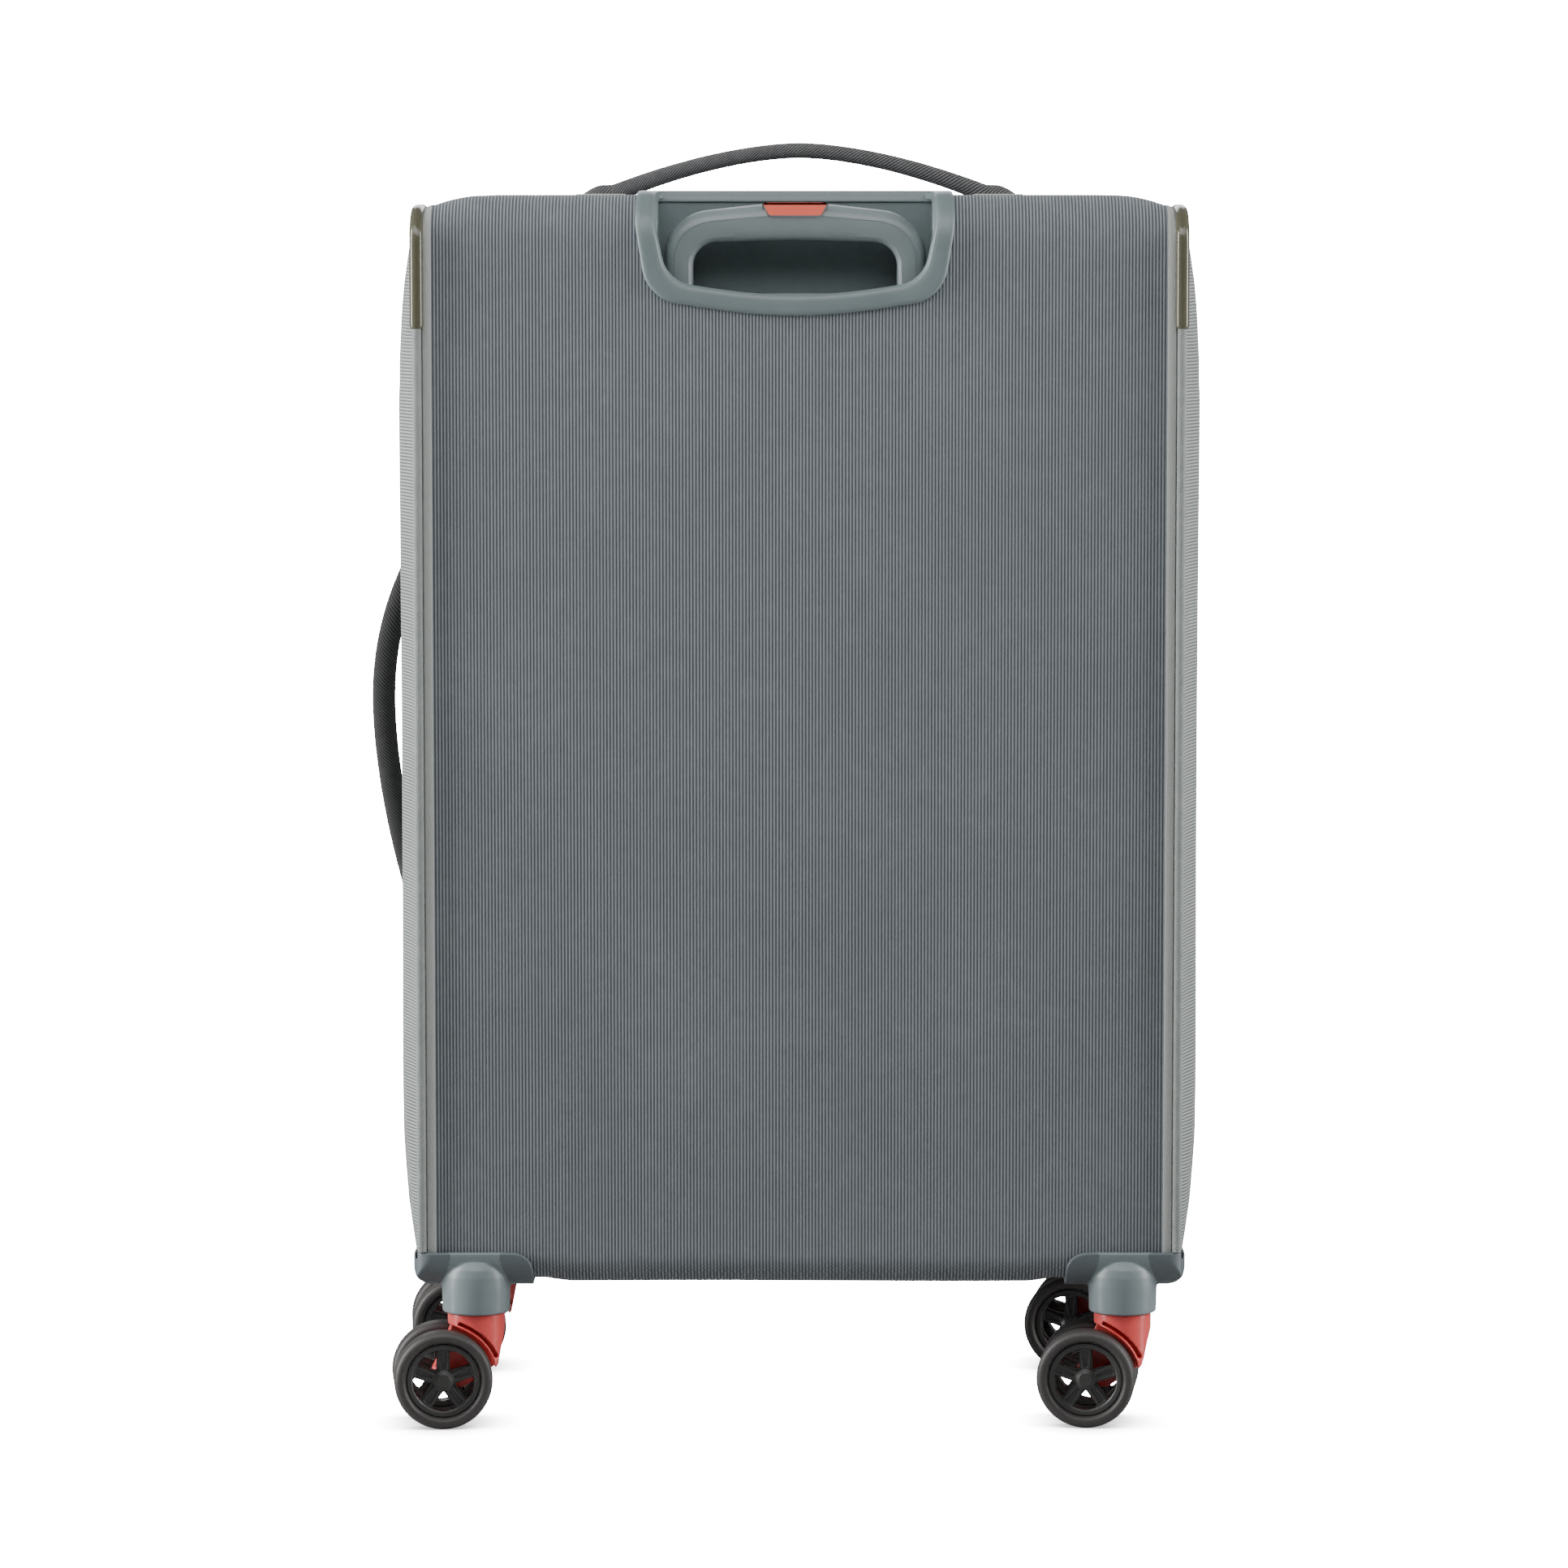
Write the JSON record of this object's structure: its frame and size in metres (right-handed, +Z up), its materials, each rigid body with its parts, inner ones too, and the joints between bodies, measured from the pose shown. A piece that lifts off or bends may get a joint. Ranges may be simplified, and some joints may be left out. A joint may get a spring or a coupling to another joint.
{
  "type": "softside upright suitcase",
  "caption": "Softside upright suitcase with a recessed telescopic handle, top and side carry handles, zipped lid, and twin-wheel swivel casters.",
  "frame": {"origin": "on the floor, under the middle of the whole object's box", "axes": "+Z up; +Y from the back panel, with the trolley handle, towards the zipped lid; +X towards the lid's hinge, away from the side carry handle"},
  "size_m": [0.4795, 0.2989, 0.7413],
  "materials": {
    "ribbed_fabric": "ribbed grey polyester, matt",
    "piping_guard": "glossy olive-grey plastic",
    "handle_webbing": "diagonal weave sewn tube",
    "grey_plastic": "satin grey-green moulded plastic",
    "grip_plastic": "satin grey-green moulded plastic",
    "red_button": "satin red plastic",
    "red_fork": "satin red plastic",
    "wheel_hub": "charcoal plastic",
    "tyre": "charcoal polyurethane, semi-matt",
    "tube_aluminium": "anodised satin",
    "black_plastic": "black moulded plastic",
    "zip_metal": "grey plated zinc",
    "steel": "bright steel"
  },
  "bodies": {
    "case": {"shell_wrap": "ribbed_fabric", "side_panel_left": "ribbed_fabric", "side_panel_right": "ribbed_fabric", "piping_left": "ribbed_fabric", "piping_right": "ribbed_fabric", "piping_guard_left": "piping_guard", "piping_guard_right": "piping_guard", "handle_tray": "grey_plastic", "outer_tube_left": "tube_aluminium", "outer_tube_right": "tube_aluminium", "tube_foot": "black_plastic", "caster_housing_rear_left": "grey_plastic", "caster_housing_rear_right": "grey_plastic", "caster_housing_front_left": "grey_plastic", "caster_housing_front_right": "grey_plastic", "swivel_pin_rear_left": "steel", "swivel_pin_rear_right": "steel", "swivel_pin_front_left": "steel", "swivel_pin_front_right": "steel"},
    "middle_stage": {"middle_tube_left": "tube_aluminium", "middle_tube_right": "tube_aluminium"},
    "grip_stage": {"inner_tube_left": "tube_aluminium", "inner_tube_right": "tube_aluminium", "grip": "grip_plastic"},
    "release": {"release_button": "red_button", "release_bail": "steel"},
    "top_handle": {"top_carry_handle": "handle_webbing"},
    "side_handle": {"side_carry_handle": "handle_webbing"},
    "lid": {"lid_shell": "ribbed_fabric", "front_pocket": "ribbed_fabric"},
    "main_slider_upper": {"zip_slider_upper": "zip_metal"},
    "main_slider_lower": {"zip_slider_lower": "zip_metal"},
    "main_puller_upper": {"puller_upper": "zip_metal"},
    "main_puller_lower": {"puller_lower": "zip_metal"},
    "pocket_zip": {"pocket_slider": "zip_metal"},
    "pocket_pull": {"pocket_puller": "zip_metal"},
    "swivel_rear_left": {"fork_rear_left": "red_fork", "axle_rear_left": "steel"},
    "wheel_rear_left_outer": {"hub_rear_left_outer": "wheel_hub", "tyre_rear_left_outer": "tyre"},
    "wheel_rear_left_inner": {"hub_rear_left_inner": "wheel_hub", "tyre_rear_left_inner": "tyre"},
    "swivel_rear_right": {"fork_rear_right": "red_fork", "axle_rear_right": "steel"},
    "wheel_rear_right_outer": {"hub_rear_right_outer": "wheel_hub", "tyre_rear_right_outer": "tyre"},
    "wheel_rear_right_inner": {"hub_rear_right_inner": "wheel_hub", "tyre_rear_right_inner": "tyre"},
    "swivel_front_left": {"fork_front_left": "red_fork", "axle_front_left": "steel"},
    "wheel_front_left_outer": {"hub_front_left_outer": "wheel_hub", "tyre_front_left_outer": "tyre"},
    "wheel_front_left_inner": {"hub_front_left_inner": "wheel_hub", "tyre_front_left_inner": "tyre"},
    "swivel_front_right": {"fork_front_right": "red_fork", "axle_front_right": "steel"},
    "wheel_front_right_outer": {"hub_front_right_outer": "wheel_hub", "tyre_front_right_outer": "tyre"},
    "wheel_front_right_inner": {"hub_front_right_inner": "wheel_hub", "tyre_front_right_inner": "tyre"}
  },
  "joints": [
    {"name": "trolley_lower_slide", "type": "slide", "parent": "case", "child": "middle_stage", "axis": [0, 0, 1], "range_m": [0, 0.17]},
    {"name": "trolley_upper_slide", "type": "slide", "parent": "middle_stage", "child": "grip_stage", "axis": [0, 0, 1], "range_m": [0, 0.17]},
    {"name": "release_press", "type": "slide", "parent": "grip_stage", "child": "release", "axis": [0, 0, -1], "range_m": [0, 0.003], "stiffness_N_per_m": 600, "springref_m": -0.004},
    {"name": "top_handle_tilt", "type": "hinge", "parent": "case", "child": "top_handle", "pos_m": [0.013, -0.0288, 0.7136], "axis": [1, 0, 0], "range_deg": [-40, 40], "stiffness_Nm_per_rad": 0.4},
    {"name": "side_handle_tilt", "type": "hinge", "parent": "case", "child": "side_handle", "pos_m": [-0.2179, -0.0288, 0.394], "axis": [0, 0, 1], "range_deg": [-40, 40], "stiffness_Nm_per_rad": 0.4},
    {"name": "lid_hinge", "type": "hinge", "parent": "case", "child": "lid", "pos_m": [0.2353, 0.075, 0.39], "axis": [0, 0, -1], "range_deg": [0, 180]},
    {"name": "main_zip_upper", "type": "slide", "parent": "case", "child": "main_slider_upper", "axis": [0, 0, 1], "range_m": [0, 0.09]},
    {"name": "main_zip_lower", "type": "slide", "parent": "case", "child": "main_slider_lower", "axis": [0, 0, -1], "range_m": [0, 0.4]},
    {"name": "main_puller_upper_swing", "type": "hinge", "parent": "main_slider_upper", "child": "main_puller_upper", "pos_m": [-0.2105, 0.075, 0.5792], "axis": [0, 1, 0], "range_deg": [0, 165]},
    {"name": "main_puller_lower_swing", "type": "hinge", "parent": "main_slider_lower", "child": "main_puller_lower", "pos_m": [-0.2105, 0.075, 0.5432], "axis": [0, 1, 0], "range_deg": [0, 165]},
    {"name": "pocket_zip_slide", "type": "slide", "parent": "lid", "child": "pocket_zip", "axis": [1, 0, 0], "range_m": [0, 0.3]},
    {"name": "pocket_puller_swing", "type": "hinge", "parent": "pocket_zip", "child": "pocket_pull", "pos_m": [-0.137, 0.148, 0.6262], "axis": [1, 0, 0], "range_deg": [0, 165]},
    {"name": "swivel_rear_left", "type": "hinge", "parent": "case", "child": "swivel_rear_left", "pos_m": [-0.1746, -0.1223, 0.06], "axis": [0, 0, 1], "continuous": true},
    {"name": "spin_rear_left_outer", "type": "hinge", "parent": "swivel_rear_left", "child": "wheel_rear_left_outer", "pos_m": [-0.19297, -0.14014, 0.0285], "axis": [-0.0958, 0.9954, 0], "continuous": true},
    {"name": "spin_rear_left_inner", "type": "hinge", "parent": "swivel_rear_left", "child": "wheel_rear_left_inner", "pos_m": [-0.19604, -0.10829, 0.0285], "axis": [-0.0958, 0.9954, 0], "continuous": true},
    {"name": "swivel_rear_right", "type": "hinge", "parent": "case", "child": "swivel_rear_right", "pos_m": [0.2006, -0.1223, 0.06], "axis": [0, 0, 1], "continuous": true},
    {"name": "spin_rear_right_outer", "type": "hinge", "parent": "swivel_rear_right", "child": "wheel_rear_right_outer", "pos_m": [0.17892, -0.13593, 0.0285], "axis": [0.1132, 0.9936, 0], "continuous": true},
    {"name": "spin_rear_right_inner", "type": "hinge", "parent": "swivel_rear_right", "child": "wheel_rear_right_inner", "pos_m": [0.18254, -0.10414, 0.0285], "axis": [0.1132, 0.9936, 0], "continuous": true},
    {"name": "swivel_front_left", "type": "hinge", "parent": "case", "child": "swivel_front_left", "pos_m": [-0.1746, 0.0497, 0.06], "axis": [0, 0, 1], "continuous": true},
    {"name": "spin_front_left_outer", "type": "hinge", "parent": "swivel_front_left", "child": "wheel_front_left_outer", "pos_m": [-0.19343, 0.03234, 0.0285], "axis": [-0.0698, 0.9976, 0], "continuous": true},
    {"name": "spin_front_left_inner", "type": "hinge", "parent": "swivel_front_left", "child": "wheel_front_left_inner", "pos_m": [-0.19567, 0.06427, 0.0285], "axis": [-0.0698, 0.9976, 0], "continuous": true},
    {"name": "swivel_front_right", "type": "hinge", "parent": "case", "child": "swivel_front_right", "pos_m": [0.2006, 0.0497, 0.06], "axis": [0, 0, 1], "continuous": true},
    {"name": "spin_front_right_outer", "type": "hinge", "parent": "swivel_front_right", "child": "wheel_front_right_outer", "pos_m": [0.17834, 0.03703, 0.0285], "axis": [0.1564, 0.9877, 0], "continuous": true},
    {"name": "spin_front_right_inner", "type": "hinge", "parent": "swivel_front_right", "child": "wheel_front_right_inner", "pos_m": [0.18335, 0.06863, 0.0285], "axis": [0.1564, 0.9877, 0], "continuous": true}
  ]
}
